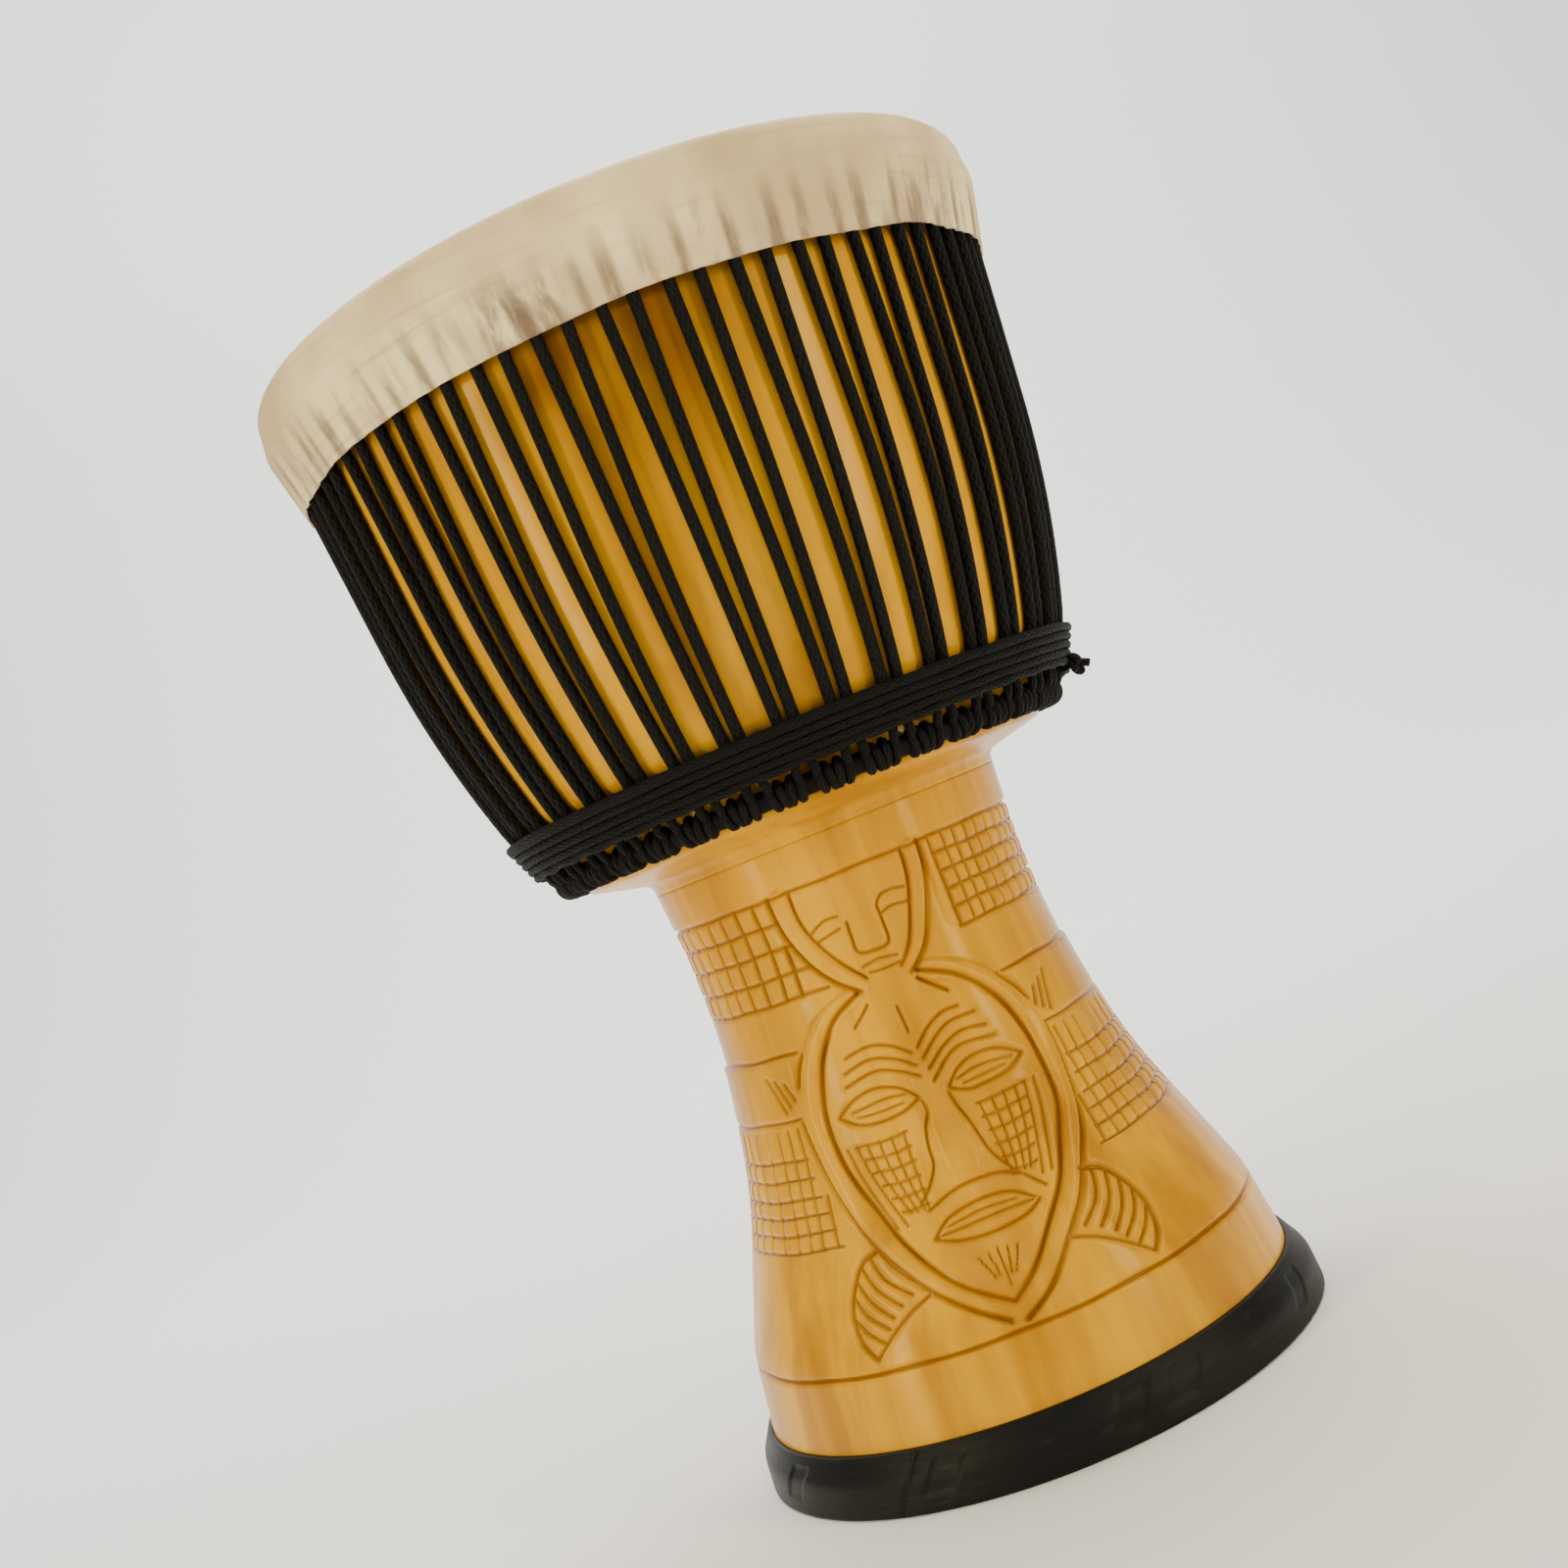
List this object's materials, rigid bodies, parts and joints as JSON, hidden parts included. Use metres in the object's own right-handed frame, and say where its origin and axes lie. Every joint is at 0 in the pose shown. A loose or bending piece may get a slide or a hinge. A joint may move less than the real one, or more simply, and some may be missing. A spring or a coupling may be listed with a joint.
{
  "type": "djembe",
  "caption": "Rope-tuned goblet hand drum: carved wooden shell, goatskin head on wire rings, zigzag tension rope, wound rope band and rubber foot.",
  "frame": {"origin": "centre of the foot's underside, on the floor", "axes": "+Z along the drum's axis to the playing head; the main carved mask faces -Y"},
  "size_m": [0.3332, 0.3332, 0.515],
  "materials": {
    "lacquered_wood": "golden yellow stain under gloss lacquer",
    "foot_rubber": "worn tyre rubber",
    "goatskin": "shaved goatskin, dry",
    "ring_wire": "plain round wire",
    "black_rope": "braided black polyester rope"
  },
  "bodies": {
    "root": {"shell": "lacquered_wood", "foot_band": "foot_rubber", "head_skin": "goatskin", "flesh_ring": "ring_wire", "crown_ring": "ring_wire", "crown_hitches": "black_rope", "tension_rope": "black_rope", "bottom_ring": "ring_wire", "bottom_hitches": "black_rope", "tail_winding": "black_rope", "tail_knot": "black_rope"}
  },
  "joints": []
}
